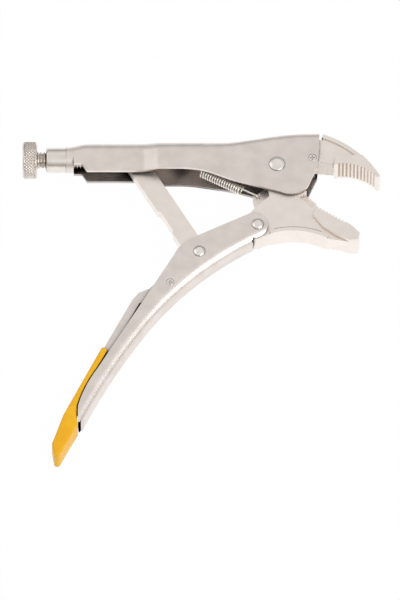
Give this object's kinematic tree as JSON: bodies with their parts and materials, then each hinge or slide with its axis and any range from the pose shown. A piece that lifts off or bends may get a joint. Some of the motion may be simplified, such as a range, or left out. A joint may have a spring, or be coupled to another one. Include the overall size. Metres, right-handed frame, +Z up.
{
  "type": "locking pliers",
  "caption": "Curved-jaw locking pliers with a wire cutter, a knurled adjusting screw, a toggle link and a release lever dipped in yellow vinyl, jaws open.",
  "frame": {"origin": "middle of the flat side of the upper handle's wide middle section, on which the tool lies", "axes": "+X along the upper handle towards the jaws; +Y from the lower handle towards the back of the upper handle; +Z up, through the thickness of the tool and along every pivot"},
  "size_m": [0.2245, 0.2345, 0.024],
  "materials": {
    "handle_plate": "nickel-plated sheet steel, tumbled satin",
    "jaw_steel": "nickel-plated forged steel, satin",
    "rivet_steel": "nickel-plated, smooth satin",
    "screw_steel": "nickel-plated, turned and knurled",
    "spring_steel": "plated spring wire",
    "yellow_vinyl": "dip-moulded vinyl, soft satin gloss"
  },
  "bodies": {
    "upper_arm": {"upper_handle": "handle_plate", "upper_jaw": "jaw_steel", "jaw_lock_pin": "rivet_steel", "main_pivot_rivet": "rivet_steel", "screw_collar": "screw_steel", "tension_spring": "spring_steel"},
    "lower_jaw": {"lower_jaw": "jaw_steel"},
    "lower_arm": {"lower_handle": "handle_plate", "jaw_handle_rivet": "rivet_steel", "link_rivet": "rivet_steel", "lever_pin": "rivet_steel"},
    "toggle_link": {"toggle_link": "jaw_steel"},
    "release_lever": {"release_lever": "handle_plate", "lever_sleeve": "yellow_vinyl"},
    "adjusting_screw": {"adjusting_screw": "screw_steel"},
    "screw_knob": {"screw_knob": "screw_steel"}
  },
  "joints": [
    {"name": "jaw_pivot", "type": "hinge", "parent": "upper_arm", "child": "lower_jaw", "pos_m": [0.062, -0.002, 0.012], "axis": [0, 0, 1], "range_deg": [0, 34], "stiffness_Nm_per_rad": 0.6, "springref_deg": -17.19, "deforming": ["tension_spring"]},
    {"name": "handle_pivot", "type": "hinge", "parent": "lower_jaw", "child": "lower_arm", "pos_m": [0.0498, -0.0458, 0.012], "axis": [0, 0, 1], "range_deg": [-56, 0]},
    {"name": "link_pivot", "type": "hinge", "parent": "lower_arm", "child": "toggle_link", "pos_m": [0.0132, -0.0654, 0.012], "axis": [0, 0, 1], "range_deg": [0, 40]},
    {"name": "lever_pivot", "type": "hinge", "parent": "lower_arm", "child": "release_lever", "pos_m": [-0.0051, -0.0879, 0.012], "axis": [0, 0, 1], "range_deg": [-9, 0]},
    {"name": "knob_turn", "type": "hinge", "parent": "adjusting_screw", "child": "screw_knob", "pos_m": [-0.093, 0.0055, 0.012], "axis": [-1, 0, 0], "range_deg": [0, 2165]},
    {"name": "screw_travel", "type": "slide", "parent": "upper_arm", "child": "adjusting_screw", "axis": [-1, 0, 0], "range_m": [0, 0.012]}
  ],
  "couplings": [
    {"joint": "handle_pivot", "follows": "jaw_pivot", "ratio": -1.625},
    {"joint": "link_pivot", "follows": "jaw_pivot", "ratio": 1.156},
    {"joint": "knob_turn", "follows": "screw_travel", "rad_per_m": 3141.6}
  ]
}
